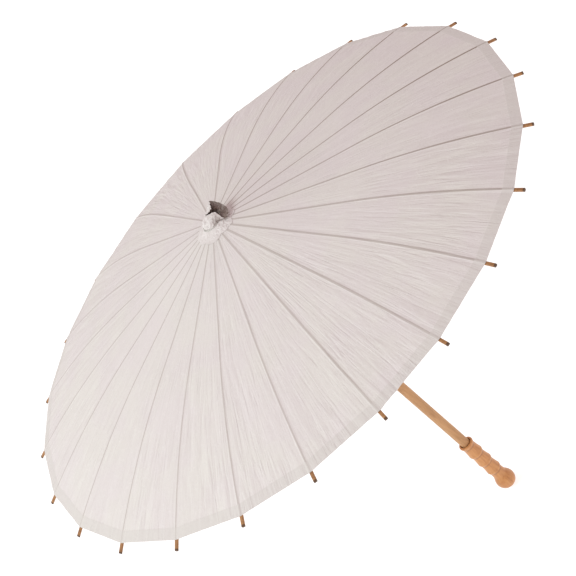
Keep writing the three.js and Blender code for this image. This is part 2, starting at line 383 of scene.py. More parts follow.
def bamboo_material(name, pale, dark):
    """Split bamboo: fine streaks over a slow change of tone, dark where a tip was cut."""
    nodes = Nodes(name, 0.55)
    streak = nodes.noise(nodes.where, 260, detail=4, distortion=0.4)
    broad = nodes.noise(nodes.where, 22, detail=2)
    tone = nodes.math("ADD", nodes.math("MULTIPLY", streak, 0.6), nodes.math("MULTIPLY", broad, 0.4))
    share = nodes.ramp(tone, 0.38, 0.62)
    colour = nodes.mix(share, pale, dark)
    cut = nodes.attribute("cut_end")
    colour = nodes.mix(nodes.math("MULTIPLY", cut, 0.85), colour, tuple(0.22 * c for c in dark))
    return nodes.finish(colour, streak, strength=0.3, distance=0.0002)


def wood_material(name, pale, middle, dark, roughness, grain=70, coat=0.0):
    """Turned wood: the grain runs along Z, with fine pores and a slow change of colour."""
    nodes = Nodes(name, roughness, Coat_Weight=coat, Coat_Roughness=0.3)
    along = nodes.scaled((1, 1, 0.07))
    grain_value = nodes.noise(along, grain * 6, detail=5, distortion=0.6)
    figure = nodes.noise(nodes.scaled((1, 1, 0.25)), grain, detail=3, distortion=1.2)
    slow = nodes.noise(nodes.where, 18, detail=2)
    colour = nodes.mix(nodes.ramp(grain_value, 0.35, 0.68), pale, middle)
    colour = nodes.mix(nodes.math("MULTIPLY", nodes.ramp(figure, 0.5, 0.75), 0.6), colour, dark)
    colour = nodes.mix(nodes.math("MULTIPLY", nodes.ramp(slow, 0.4, 0.7), 0.4), colour, middle)
    colour = nodes.mix(nodes.attribute("dark"), colour, tinted(dark, 0.7, 0.7, 0.7))
    return nodes.finish(colour, grain_value, strength=0.15, distance=0.0002)


def metal_material(name, colour):
    nodes = Nodes(name, 0.38, Metallic=1.0)
    scratch = nodes.noise(nodes.scaled((1, 1, 1)), 900, detail=3)
    return nodes.finish(nodes.mix(scratch, colour, tuple(0.8 * c for c in colour)), scratch, strength=0.1)


def thread_material(name, colour):
    nodes = Nodes(name, 0.9)
    twist = nodes.noise(nodes.where, 1800, detail=2)
    return nodes.finish(nodes.mix(twist, colour, tuple(0.8 * c for c in colour)), twist, strength=0.4)


paper = paper_material("oiled_paper", (0.77, 0.725, 0.71), (0.775, 0.75, 0.705))
# The cap's second colour is painted shade.
cap_paper = cap_material("cap_paper", (0.78, 0.74, 0.72), (0.20, 0.15, 0.125))
rib_bamboo = bamboo_material("rib_bamboo", (0.46, 0.23, 0.085), (0.27, 0.12, 0.04))
pale_bamboo = bamboo_material("pale_bamboo", (0.66, 0.45, 0.24), (0.50, 0.30, 0.13))
shaft_wood = wood_material("shaft_wood", (0.62, 0.35, 0.16), (0.48, 0.25, 0.10), (0.30, 0.14, 0.05), 0.5)
handle_wood = wood_material(
    "handle_wood", (0.66, 0.32, 0.115), (0.50, 0.20, 0.06), (0.27, 0.085, 0.02), 0.42, grain=55, coat=0.15
)
runner_wood = wood_material("runner_wood", (0.62, 0.40, 0.2), (0.48, 0.28, 0.13), (0.3, 0.16, 0.07), 0.6)
notch_wood = wood_material("notch_wood", (0.13, 0.085, 0.06), (0.09, 0.055, 0.04), (0.05, 0.03, 0.02), 0.7)
steel_wire = metal_material("steel_wire", (0.55, 0.54, 0.52))
white_thread = thread_material("white_thread", (0.78, 0.75, 0.7))


# ---- Split bamboo: ribs and stretchers ----
def bamboo_section(half_width, low, high, crown):
    """Rounded rectangle across a strip, with its top a little crowned: (across, up) pairs."""
    half_height = (high - low) / 2
    middle = (high + low) / 2
    corner = min(0.35 * half_width, 0.35 * half_height)
    pairs = []
    for sign_z, sign_y, start in ((1, 1, 0), (-1, 1, 90), (-1, -1, 180), (1, -1, 270)):
        for turn in (0, 45, 90):
            angle = math.radians(start + turn)
            z = sign_z * (half_width - corner) + corner * math.cos(angle)
            y = sign_y * (half_height - corner) + corner * math.sin(angle)
            pairs.append((z, middle + y))
    pairs.insert(3, (0.0, high + crown))
    return pairs


def strip(stations, width_at, low_at, high_at, knots):
    """A bamboo strip lofted along X, from functions of the distance along it. Knots are the nodes
    of the bamboo, where the strip is a little thicker."""
    rings = []
    for x in stations:
        knot = sum(math.exp(-(((x - at) / (1.6 * MM)) ** 2)) for at in knots)
        half = width_at(x) / 2 + 0.14 * MM * knot
        low, high = low_at(x) - 0.22 * MM * knot, high_at(x) + 0.05 * MM * knot
        rings.append([(x, y, z) for z, y in bamboo_section(half, low, high, 0.03 * half)])
    return loft(rings)


def width_profile(full, tip=None):
    """Thin tongue at the hinge, widening to full; the stretcher has a second tongue at its end."""
    def width(x):
        share = min(1, max(0, (x - TONGUE_END) / (FULL_WIDTH_FROM - TONGUE_END)))
        value = TONGUE + (full - TONGUE) * share
        if tip is not None:
            share = min(1, max(0, (x - (LINK - 12 * MM)) / (8.5 * MM)))
            value += (tip - value) * share
        return value
    return width


def rib_low(x):
    if x < 0:
        return -math.sqrt(max(0, (2.2 * MM) ** 2 - x * x)) - 0.05 * MM
    share = min(1, x / (14 * MM))
    return -2.2 * MM + (RIB_UNDERSIDE + 2.2 * MM) * share - float(rib_sag(x))


def rib_high(x):
    if x < 0:
        return math.sqrt(max(0, (2.2 * MM) ** 2 - x * x)) + 0.05 * MM
    share = min(1, x / (14 * MM))
    return 2.2 * MM + (RIB_TOP - 2.2 * MM) * share - float(rib_sag(x))


def ear(side):
    """Half-round lug under the rib, which holds the stretcher's end."""
    inner, outer = side * EAR_GAP / 2, side * (RIB_WIDTH / 2 - 0.02 * MM)
    outline = [(LINK + EAR_RADIUS, RIB_UNDERSIDE + 0.4 * MM)]
    for j in range(13):
        angle = -math.pi * j / 12
        outline.append((LINK + EAR_RADIUS * math.cos(angle), EAR_RADIUS * math.sin(angle)))
    outline.append((LINK - EAR_RADIUS, RIB_UNDERSIDE + 0.4 * MM))
    rings = [[(x, y, z) for x, y in outline] for z in (inner, outer)]
    if side > 0:
        rings.reverse()
    return loft(rings)


def stations_between(*spans):
    """Distances along a strip, from (start, end, steps) spans."""
    out = []
    for start, end, steps in spans:
        out += [start + (end - start) * i / steps for i in range(steps)]
    out.append(spans[-1][1])
    return [x * MM for x in out]


RIB_KNOTS = (96 * MM, 282 * MM)
RIB_STATIONS = stations_between(
    (-2.19, 0, 4), (0, 14, 4), (14, 92, 6), (92, 100, 8), (100, 190, 6), (190, 278, 8), (278, 286, 8),
    (286, 416, 14), (416, 420.3, 6),
)
STRETCHER_KNOTS = (88 * MM,)
STRETCHER_STATIONS = stations_between(
    (-1.99, 0, 4), (0, 10, 3), (10, 84, 6), (84, 92, 8), (92, 178, 6), (178, 190, 6), (190, 191.29, 4)
)


def stretcher_half_depth(x):
    if x < 0:
        return math.sqrt(max(0, (2 * MM) ** 2 - x * x)) + 0.05 * MM
    if x < TONGUE_END:
        return 2 * MM + (STRETCHER_DEPTH / 2 - 2 * MM) * x / TONGUE_END
    if x > LINK:
        half = STRETCHER_DEPTH / 2
        return math.sqrt(max(0, half * half - (x - LINK) ** 2)) + 0.04 * MM
    return STRETCHER_DEPTH / 2


def link_to_world(point, spoke, foot, slope):
    """From a link's own plane (along, up, across) to the frame, on a spoke."""
    x, y, z = point
    radius = foot.x + x * math.cos(slope) + y * math.sin(slope)
    height = foot.z - x * math.sin(slope) + y * math.cos(slope)
    c, s = math.cos(spoke * STEP), math.sin(spoke * STEP)
    return (radius * c + z * s, radius * s - z * c, height)


def add_float(obj, name, values):
    attribute = obj.data.attributes.new(name, "FLOAT", "POINT")
    attribute.data.foreach_set("value", np.asarray(values, np.float32))


def make_links():
    rib_points, rib_faces = join(
        strip(RIB_STATIONS, width_profile(RIB_WIDTH), rib_low, rib_high, RIB_KNOTS), ear(1), ear(-1)
    )
    stretcher_points, stretcher_faces = strip(
        STRETCHER_STATIONS,
        width_profile(STRETCHER_WIDTH, 1.2 * MM),
        lambda x: -stretcher_half_depth(x),
        stretcher_half_depth,
        STRETCHER_KNOTS,
    )
    cut = smoothstep(RIB_REACH - 2.8 * MM, RIB_REACH - 1.2 * MM, np.array([x for x, _, _ in rib_points]))
    for k, number in enumerate(spoke_names()):
        points = [link_to_world(p, k, HINGE, SLOPE) for p in rib_points]
        rib = crispen(make_object(f"bamboo_rib_{number}", points, rib_faces, rib_bamboo), 50)
        add_float(rib, "cut_end", cut)
        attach(rib, f"rib_{number}")
        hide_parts(f"rib_{number}")
        points = [link_to_world(p, k, FOOT, -SLOPE) for p in stretcher_points]
        strut = crispen(make_object(f"bamboo_stretcher_{number}", points, stretcher_faces, pale_bamboo), 50)
        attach(strut, f"stretcher_{number}")
        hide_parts(f"stretcher_{number}")


# ---- The paper canopy: one gore over each rib, joined edge to edge between the ribs ----
def crease_field(angle, radius):
    """Creases that run outwards, from -1 to 1, the same on both sides of a gore's edge."""
    out = np.empty(angle.shape)
    for i in np.ndindex(angle.shape):
        r = float(radius[i])
        c, s = math.cos(float(angle[i])), math.sin(float(angle[i]))
        drift = 0.05 * noise.noise(Vector((5 * c, 5 * s, r * 12)))
        c, s = c - s * drift, s + c * drift
        long = noise.noise(Vector((34 * c, 34 * s, r * 9)))
        short = noise.noise(Vector((75 * c + 7, 75 * s, r * 26)))
        patch = noise.noise(Vector((4 * c + 3, 4 * s, r * 11)))
        sharp = 0.4 - 2 * abs(long)
        out[i] = (0.4 * long + 0.5 * sharp + 0.5 * short) * (0.55 + 1.1 * max(0, patch))
    return out


def gore_surface(k, along, reach):
    """Positions and outward normals on gore k. along is the distance along the rib, and reach runs
    from -1 to 1 between the middles of the two bays beside it; beyond 1 it goes on into the next."""
    above = RIB_TOP + PAPER_ABOVE_RIB - rib_sag(along)
    radius, height = in_spoke(along, above)
    middle = k * STEP
    side = np.where(reach < 0, -1.0, 1.0)
    w = np.abs(reach)
    c0, s0 = math.cos(middle), math.sin(middle)
    c1 = np.cos(middle + side * HALF_STEP) * math.cos(HALF_STEP)
    s1 = np.sin(middle + side * HALF_STEP) * math.cos(HALF_STEP)
    x = radius * (c0 + (c1 - c0) * w)
    y = radius * (s0 + (s1 - s0) * w)
    angle = np.arctan2(y, x)
    across = np.minimum(w, 2 - w) * radius * math.sin(HALF_STEP)
    spread = np.minimum(1.0, radius / (60 * MM))
    groove = smoothstep(0.6 * MM, 2.9 * MM, across) * (1 - smoothstep(3.2 * MM, 13 * MM, across))
    lift = -0.4 * MM * groove * np.minimum(1.0, radius / (180 * MM))
    outer = smoothstep(0.12, 0.36, radius)
    calm = smoothstep(1.8 * MM, 7 * MM, across)
    lift = lift + 0.85 * MM * (0.3 + 0.7 * outer) * calm * spread * crease_field(angle, radius)
    to_rim = (RIM_RADIUS - radius) * 1.02
    lift = lift + 0.16 * MM * (1 - smoothstep(HEM_WIDTH - 0.5 * MM, HEM_WIDTH + 0.7 * MM, to_rim))
    pucker = np.sin(angle * 310 + 3 * np.sin(angle * 47)) * np.exp(-(((to_rim - HEM_WIDTH) / (7 * MM)) ** 2))
    lift = lift + 0.06 * MM * pucker * calm
    tilt = np.arctan2(2 * RIB_DROOP * np.clip((along - LINK), 0, None) / (RIB_REACH - LINK) ** 2, 1) + SLOPE
    facing = middle + side * HALF_STEP * np.clip(across / (5 * MM), 0, 1)
    nx, ny, nz = np.sin(tilt) * np.cos(facing), np.sin(tilt) * np.sin(facing), np.cos(tilt)
    normal = np.stack([nx, ny, nz], -1)
    flat = np.stack([x, y, height * np.ones_like(x)], -1)
    return flat + normal * lift[..., None], normal, across, to_rim


def gore_reaches(radius):
    """Places across a gore, from -1 to 1, close together over the rib. One row per radius."""
    half = radius * math.sin(HALF_STEP)
    ridge = np.minimum(4.2 * MM, 0.62 * half)
    near = np.array([0, 0.12, 0.22, 0.33, 0.45, 0.6, 0.8, 1.0])
    far = np.linspace(0, 1, 16)[1:]
    rows = []
    for h, edge in zip(half, ridge):
        steps = np.concatenate([near * edge, edge + far * (h - edge)]) / h
        rows.append(np.concatenate([-steps[:0:-1], steps]))
    return np.array(rows)


def gore_alongs():
    start = along_at(PAPER_INNER_RADIUS, PAPER_ABOVE_RIB)
    rim = along_at(RIM_RADIUS, PAPER_ABOVE_RIB) - 0.1 * MM
    hem = rim - HEM_WIDTH
    body = np.linspace(start, hem - 2 * MM, 62)
    edge = np.array([-1.2, -0.6, -0.1, 0.3, 0.9, 2.2, 4.5, 7, 9.5, 11.5, 13, 14]) * MM + hem
    return np.concatenate([body, edge])


def sheet_mesh(name, top, bottom, material):
    """A closed thin sheet from a grid of points over and under it."""
    rows, columns = top.shape[:2]
    count = rows * columns
    faces = []
    for i in range(rows - 1):
        for j in range(columns - 1):
            a = i * columns + j
            faces.append((a, a + columns, a + columns + 1, a + 1))
            faces.append((count + a, count + a + 1, count + a + columns + 1, count + a + columns))
    edge = [(0, j) for j in range(columns)]
    edge += [(i, columns - 1) for i in range(1, rows)]
    edge += [(rows - 1, j) for j in range(columns - 2, -1, -1)]
    edge += [(i, 0) for i in range(rows - 2, 0, -1)]
    loop = [i * columns + j for i, j in edge]
    for a, b in zip(loop, loop[1:] + loop[:1]):
        faces.append((a, b, count + b, count + a))
    return make_object(name, np.concatenate([top.reshape(-1, 3), bottom.reshape(-1, 3)]), faces, material)


def set_sheet_normals(obj, normals):
    """Smooth normals over and under a sheet, which agree with the next sheet's; flat edges."""
    mesh = obj.data
    count = len(normals)
    both = np.concatenate([normals, -normals])
    face_normals = np.empty(len(mesh.polygons) * 3)
    mesh.polygons.foreach_get("normal", face_normals)
    face_normals = face_normals.reshape(-1, 3)
    out = np.empty((len(mesh.loops), 3))
    for polygon in mesh.polygons:
        verts = list(polygon.vertices)
        mixed = min(verts) < count <= max(verts)
        for loop, vert in zip(polygon.loop_indices, verts):
            out[loop] = face_normals[polygon.index] if mixed else both[vert]
    mesh.normals_split_custom_set([tuple(n) for n in out])


def grid_normals(points):
    """Normals of a grid with one more row and column on every side than is kept."""
    rows = points[2:, 1:-1] - points[:-2, 1:-1]
    columns = points[1:-1, 2:] - points[1:-1, :-2]
    normals = np.cross(rows, columns)
    return normals / np.linalg.norm(normals, axis=-1, keepdims=True)


def extended(values):
    """A row of places with one more at either end."""
    return np.concatenate([[2 * values[0] - values[1]], values, [2 * values[-1] - values[-2]]])


def rib_line_with_painted_shade(angle, radius):
    """How dark and how wide the line over a rib is: the rib seen through the paper, with painted shade. It is
    darkest on one side, towards the rim, and wider there.
    """
    side = 0.5 + 0.5 * math.cos(angle - PAINTED_SHADE_SIDE)
    strength = 0.36 + 0.64 * side**4 * (0.35 + 0.65 * smoothstep(0.1, 0.36, radius))
    half = (0.85 + 0.45 * math.exp(-((math.remainder(angle - WIDE_SIDE, math.tau) / 0.55) ** 2))) * MM
    return strength, half * (1 + 0.45 * side**4 * smoothstep(0.22, 0.36, radius))


def make_canopy():
    alongs = gore_alongs()
    wide = extended(alongs)
    radii, _ = in_spoke(wide, RIB_TOP + PAPER_ABOVE_RIB - rib_sag(wide))
    reaches = np.array([extended(row) for row in gore_reaches(radii)])
    along_grid = np.repeat(wide[:, None], reaches.shape[1], 1)
    gores = []
    for k, number in enumerate(spoke_names()):
        points, outward, across, to_rim = gore_surface(k, along_grid, reaches)
        normals = grid_normals(points)
        if np.sum(normals * outward[1:-1, 1:-1]) < 0:
            normals = -normals
        kept, thick = points[1:-1, 1:-1], outward[1:-1, 1:-1] * PAPER_THICKNESS / 2
        gore = sheet_mesh(f"canopy_gore_{number}", kept + thick, kept - thick, paper)
        set_sheet_normals(gore, normals.reshape(-1, 3))
        across, to_rim = across[1:-1, 1:-1].ravel(), to_rim[1:-1, 1:-1].ravel()
        # The line over each rib: the rib seen through the paper, made darker and wider on one side by painted
        # shade.
        strength, half = rib_line_with_painted_shade(k * STEP, RIM_RADIUS - to_rim)
        rib_line_and_shade = strength * (1 - smoothstep(half, half + 0.5 * MM, across))
        hem = 0.55 * (1 - smoothstep(HEM_WIDTH - 0.5 * MM, HEM_WIDTH + 0.5 * MM, to_rim))
        add_float(gore, "rib_line_and_painted_shade", np.tile(rib_line_and_shade, 2))
        add_float(gore, "hem", np.tile(hem, 2))
        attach(gore, f"rib_{number}")
        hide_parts("canopy")
        gores.append(gore)
    return gores, alongs


def fold_away(piece):
    """Gives the piece a mesh of its own."""
    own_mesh(piece)


# ---- The paper cap: a skirt on the canopy, tied round the notch, and a crushed collar above ----
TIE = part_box("cap_thread")
WAIST = (TIE[0].z + TIE[1].z) / 2
WAIST_RADIUS = 13.8 * MM
SHOULDER_RADIUS = HEAD_RADIUS + 1.6 * MM
SKIRT_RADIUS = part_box("cap")[1].x
SKIRT_INNER = HEAD_RADIUS - 0.6 * MM
LEAN = math.radians(-40)  # the way the collar leans
CAP_SHEET = 0.4 * MM
CRUMPLES = 210  # folds and dents of the cap, per metre
# The collar's torn edge: degrees round the waist under it, then mm along the lean, across it and
# above the waist
COLLAR_EDGE = (
    (0, 26.5, -2, 0.2), (30, 24.5, 9, 5.5), (65, 17.6, 16.5, 14.6), (110, 11.3, 1, 14),
    (165, 1, 2.5, 12.2), (210, 5, -2, 11.5), (252, 11.7, -8, 11), (285, 13, -16, 2.2),
    (312, 16, -19.5, -0.6), (336, 23, -13, -0.6),
)


def crumple(point, scale, amplitude):
    """Sharp folds and small dents of crushed paper."""
    p = Vector(point) * scale
    folds = 1 - 2 * abs(noise.noise(p))
    dents = 1 - 2 * abs(noise.noise(p * 2.3 + Vector((9, 4, 2))))
    return amplitude * (0.65 * (folds - 0.6) + 0.35 * (dents - 0.6))


def collar_edge(per_span):
    """The collar's edge as a closed line: waist angle, then the point itself."""
    full = 360
    before, after = COLLAR_EDGE[-1], COLLAR_EDGE[:2]
    turn = [(before[0] - full, *before[1:]), *COLLAR_EDGE, *((a[0] + full, *a[1:]) for a in after)]
    line = np.array(catmull(turn, per_span)[per_span : per_span * (len(COLLAR_EDGE) + 1)])
    angle, lean, across, rise = np.radians(line[:, 0]) + LEAN, *(line[:, 1:].T * MM)
    c, s = math.cos(LEAN), math.sin(LEAN)
    return angle, np.stack([lean * c - across * s, lean * s + across * c, WAIST + rise], -1)


def collar_grid(angle, edge):
    """Points from the shoulder over the notch up to the waist and on to the torn edge."""
    around = np.stack([np.cos(angle), np.sin(angle), np.zeros_like(angle)], -1)
    up = np.array([0, 0, 1.0])
    rows = []
    for t in np.linspace(0, 1, 6)[:-1]:
        radius = SHOULDER_RADIUS + (WAIST_RADIUS - SHOULDER_RADIUS) * t**0.7
        rows.append(around * radius + up * (WAIST - 4.6 * MM * (1 - t) ** 1.5))
    waist = around * WAIST_RADIUS + up * WAIST
    for t in np.linspace(0, 1, 27):
        level = waist + (edge - waist) * t**1.35
        height = waist[:, 2] + (edge[:, 2] - waist[:, 2]) * t**0.75 + 1.6 * MM * math.sin(math.pi * t)
        rows.append(np.stack([level[:, 0], level[:, 1], height], -1))
    return np.array(rows)


def closed_normals(grid):
    """Normals of a grid whose rows are closed rings."""
    rows = np.gradient(grid, axis=0)
    columns = np.roll(grid, -1, axis=1) - np.roll(grid, 1, axis=1)
    normals = np.cross(columns, rows)
    return normals / np.linalg.norm(normals, axis=-1, keepdims=True)


def make_cap():
    angle, edge = collar_edge(16)
    grid = collar_grid(angle, edge)
    normals = closed_normals(grid)
    steps, count = grid.shape[:2]
    for i, j in np.ndindex(steps, count):
        grid[i, j] += normals[i, j] * crumple(grid[i, j], CRUMPLES, 2.1 * MM) * (0.35 + 0.65 * min(1, i / 10))
    inner = grid - closed_normals(grid) * CAP_SHEET
    points = np.concatenate([grid, inner[::-1]]).reshape(-1, 3)
    faces = ring_faces(0, count, 2 * steps)
    last = (2 * steps - 1) * count
    faces += [(last + j, last + (j + 1) % count, (j + 1) % count, j) for j in range(count)]
    tube = make_object("cap_tube", points, faces, cap_paper)
    # Painted shade: all of the collar's inner face, and a patch round a fold at the waist.
    fold = Vector((5.5 * MM, -13 * MM, 3 * MM))
    c, s = math.cos(LEAN), math.sin(LEAN)
    fold = np.array([fold.x * c - fold.y * s, fold.x * s + fold.y * c, WAIST + fold.z])
    fold_shade = np.exp(-((np.linalg.norm(grid.reshape(-1, 3) - fold, axis=-1) / (5.5 * MM)) ** 2))
    add_float(tube, "painted_shade", np.concatenate([0.8 * fold_shade, np.ones(steps * count)]))
    crispen(tube, 40)
    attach(tube, "frame")
    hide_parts("cap")
    return tube


def skirt_surface(k, share, reach):
    """On the cap's skirt over rib k: share 0 is its inner edge, 1 its ragged outer edge."""
    out = np.empty((*share.shape, 3))
    for i in np.ndindex(share.shape):
        s = float(share[i])
        angle = k * STEP + HALF_STEP * float(reach[i])
        ragged = noise.noise(Vector((3.6 * math.cos(angle), 3.6 * math.sin(angle), 8)))
        edge = SKIRT_RADIUS - 3 * MM + 4 * MM * ragged
        radius = SKIRT_INNER + (edge - SKIRT_INNER) * s
        _, paper_height = in_spoke(along_at_quick(radius), RIB_TOP + PAPER_ABOVE_RIB)
        crushed = 0.45 + 0.55 * max(0, math.cos(angle - LEAN + math.pi / 3))
        where = (radius * math.cos(angle), radius * math.sin(angle), 0)
        folds = crumple(where, CRUMPLES, 1.9 * MM * crushed) * max(0, 1 - s**3) * min(1, 0.2 + 2 * s)
        rise = 2.5 * MM * max(0, 1 - s) ** 2.2 + (0.4 + 0.9 * crushed * max(0, 1 - s) ** 0.5) * MM
        out[i] = (*where[:2], paper_height + max(0.3 * MM, rise + folds))
    return out


def along_at_quick(radius):
    """Distance along the rib of the paper at a small radius, where the rib is straight."""
    return (radius - HINGE.x - (RIB_TOP + PAPER_ABOVE_RIB) * math.sin(SLOPE)) / math.cos(SLOPE)


def make_skirt():
    shares = extended(np.linspace(0, 1, 20))
    reaches = extended(np.linspace(-1, 1, 11))
    share_grid, reach_grid = np.meshgrid(shares, reaches, indexing="ij")
    sectors = []
    for k, number in enumerate(spoke_names()):
        points = skirt_surface(k, share_grid, reach_grid)
        normals = grid_normals(points)
        if normals[..., 2].sum() < 0:
            normals = -normals
        kept = points[1:-1, 1:-1]
        thick = normals * CAP_SHEET / 4
        sector = sheet_mesh(f"cap_skirt_{number}", kept + thick, kept - thick, cap_paper)
        set_sheet_normals(sector, normals.reshape(-1, 3))
        # The skirt gets no painted shade.
        add_float(sector, "painted_shade", np.zeros(2 * normals[..., 0].size))
        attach(sector, f"rib_{number}")
        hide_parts("cap")
        sectors.append(sector)
    return sectors


# ---- Shaft, handle, notch, runner ----
def make_shaft():
    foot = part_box("shaft")[0].z
    profile = [(0, foot), (SHAFT_RADIUS - 0.8 * MM, foot), (SHAFT_RADIUS, foot + 0.8 * MM)]
    profile += [(SHAFT_RADIUS, foot + (SHAFT_TOP - foot) * i / 24) for i in range(1, 24)]
    profile += [(SHAFT_RADIUS, SHAFT_TOP - 0.8 * MM), (SHAFT_RADIUS - 0.8 * MM, SHAFT_TOP), (0, SHAFT_TOP)]

    def wobble(angle, height):
        return 0.05 * MM * noise.noise(Vector((math.cos(angle), math.sin(angle), height * 20)))

    points, faces = turned(profile, 64, wobble)
    shaft = make_object("shaft_stick", points, faces, shaft_wood)
    cutter_low, cutter_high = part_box("catch_spring")
    slot_points, slot_faces = box_mesh(
        (-3.5 * MM, -1.35 * MM, cutter_low.z - 1.5 * MM), (12 * MM, 1.35 * MM, cutter_high.z + 2.1 * MM)
    )
    cutter = make_object("slot_cutter", slot_points, slot_faces, shaft_wood)
    cut = shaft.modifiers.new("slot", "BOOLEAN")
    cut.operation = "DIFFERENCE"
    cut.object = cutter
    cut.solver = "EXACT"
    apply_modifiers(shaft)
    bpy.data.objects.remove(cutter)
    crispen(shaft)
    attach(shaft, "frame")
    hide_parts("shaft")


def box_mesh(low, high):
    points = [(x, y, z) for x in (low[0], high[0]) for y in (low[1], high[1]) for z in (low[2], high[2])]
    faces = [(0, 1, 3, 2), (4, 6, 7, 5), (0, 4, 5, 1), (2, 3, 7, 6), (0, 2, 6, 4), (1, 5, 7, 3)]
    return points, faces


def apply_modifiers(obj):
    graph = bpy.context.evaluated_depsgraph_get()
    mesh = bpy.data.meshes.new_from_object(obj.evaluated_get(graph))
    obj.modifiers.clear()
    obj.data = mesh


SEGMENT_STARTS = [39.4 + 21 * k for k in range(3)]  # mm above the handle's end


def handle_profile():
    """The turned outline from the knob's flat end to the collar, then down into the socket."""
    knob, bump, valley, grip, lip = 14.7, 11.3, 9.9, 10.1, 11.3
    outline = [
        (6.5, 0), (11, 1.8), (knob - 0.8, 7), (knob, 12),
        (knob - 0.9, 17), (knob - 2.8, 21.5), (knob - 4.4, 26),
    ]
    for at in SEGMENT_STARTS:
        outline += [(valley, at - 4.5), (bump, at), (bump - 0.5, at + 3.5), (grip, at + 10)]
    top = HANDLE_TOP / MM
    outline += [(valley, top - 7.5), (lip, top - 2.5)]
    skin = catmull(outline, 7)
    socket = SHAFT_RADIUS / MM + 0.5
    lip_round = [(lip, top - 1.2), (lip - 0.35, top - 0.35), (lip - 1.1, top), (socket + 1.3, top)]
    lip_round += [(socket + 0.5, top - 0.4), (socket + 0.1, top - 1.4), (socket, top - 3)]
    floor = top - 42
    return [(r * MM, z * MM) for r, z in [(0, 0), *skin, *lip_round, (socket, floor), (0, floor)]]


def make_handle():
    def wobble(angle, height):
        return 0.12 * MM * noise.noise(Vector((1.2 * math.cos(angle), 1.2 * math.sin(angle), height * 45)))

    points, faces = turned(handle_profile(), 80, wobble)
    handle = make_object("turned_handle", points, faces, handle_wood)
    crispen(handle, 60)
    heights = np.array([z for _, _, z in points]) / MM
    steps = [np.exp(-(((heights - at + 3.6) / 1.3) ** 2)) for at in (*SEGMENT_STARTS, HANDLE_TOP / MM - 3.2)]
    socket = np.array([math.hypot(x, y) < SHAFT_RADIUS + 1.2 * MM for x, y, _ in points]) * (heights > 50)
    add_float(handle, "dark", np.maximum(0.5 * np.max(steps, axis=0), 0.9 * socket))
    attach(handle, "frame")
    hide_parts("handle")


def slotted_head(low, high, chamfer, hinge_z, bore_radius):
    """A head with a slot for every link and a groove round it for the hinge wire."""
    slot_floor, slot_half, groove = 10.2 * MM, 0.95 * MM, 12.2 * MM
    levels = [(low, HEAD_RADIUS - chamfer), (low + chamfer, HEAD_RADIUS)]
    half = 0.75 * MM
    levels += [(hinge_z - half, HEAD_RADIUS), (hinge_z - half, groove)]
    levels += [(hinge_z + half, groove), (hinge_z + half, HEAD_RADIUS)]
    levels += [(high - chamfer, HEAD_RADIUS), (high, HEAD_RADIUS - chamfer)]
    outer, inner = [], []
    for z, reach in levels:
        ring = []
        for k in range(RIBS):
            middle = k * STEP
            start = math.asin(slot_half / reach)
            floor = math.asin(slot_half / slot_floor)
            ring.append((slot_floor, middle - floor))
            ring.append((slot_floor, middle + floor))
            for j in range(5):
                ring.append((reach, middle + start + (STEP - 2 * start) * j / 4))
        outer.append([(r * math.cos(a), r * math.sin(a), z) for r, a in ring])
    count = len(outer[0])
    for z in (low, high):
        angles = [2 * math.pi * j / count for j in range(count)]
        inner.append([(bore_radius * math.cos(a), bore_radius * math.sin(a), z) for a in angles])
    rings = [*outer, inner[1], inner[0]]
    points = [p for ring in rings for p in ring]
    faces = ring_faces(0, count, len(rings))
    last = (len(rings) - 1) * count
    faces += [(last + j, last + (j + 1) % count, (j + 1) % count, j) for j in range(count)]
    return points, faces


def collar(profile, segments=72):
    """A closed profile turned about Z, which doesn't touch the axis."""
    points, faces = turned(profile, segments)
    last = (len(profile) - 1) * segments
    faces += [(last + j, last + (j + 1) % segments, (j + 1) % segments, j) for j in range(segments)]
    return points, faces


def make_heads():
    bore = SHAFT_RADIUS + 0.35 * MM
    notch_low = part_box("top_notch")[0].z
    shoulder = HINGE.z + 4 * MM
    head = slotted_head(notch_low, shoulder, HEAD_CHAMFER, HINGE.z, bore)
    neck = collar([
        (bore, shoulder - 0.5 * MM),
        (NECK_RADIUS, shoulder - 0.5 * MM),
        (NECK_RADIUS, NECK_TOP - 0.6 * MM),
        (11.4 * MM, NECK_TOP),
        (bore, NECK_TOP),
    ])
    points, faces = join(head, neck)
    notch = crispen(make_object("notch_head", points, faces, notch_wood))
    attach(notch, "frame")
    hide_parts("top_notch")
    low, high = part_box("runner")
    head = slotted_head(FOOT.z - 4.2 * MM, high.z, HEAD_CHAMFER, FOOT.z, bore)
    sleeve_outer = 10.5 * MM
    profile = [(bore, low.z), (sleeve_outer - 0.8 * MM, low.z), (sleeve_outer, low.z + 0.8 * MM)]
    for i in range(3):
        at = low.z + (8 + 8 * i) * MM
        profile += [(sleeve_outer, at - 0.6 * MM), (sleeve_outer - 0.5 * MM, at)]
        profile += [(sleeve_outer, at + 0.6 * MM)]
    flange, seat = HEAD_RADIUS - 1 * MM, FOOT.z - 4 * MM
    profile += [(sleeve_outer, FOOT.z - 8 * MM), (flange, FOOT.z - 4.4 * MM), (flange, seat), (bore, seat)]
    points, faces = join(head, collar(profile))
    runner = crispen(make_object("runner_head", points, faces, runner_wood))
    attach(runner, "runner")
    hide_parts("runner")


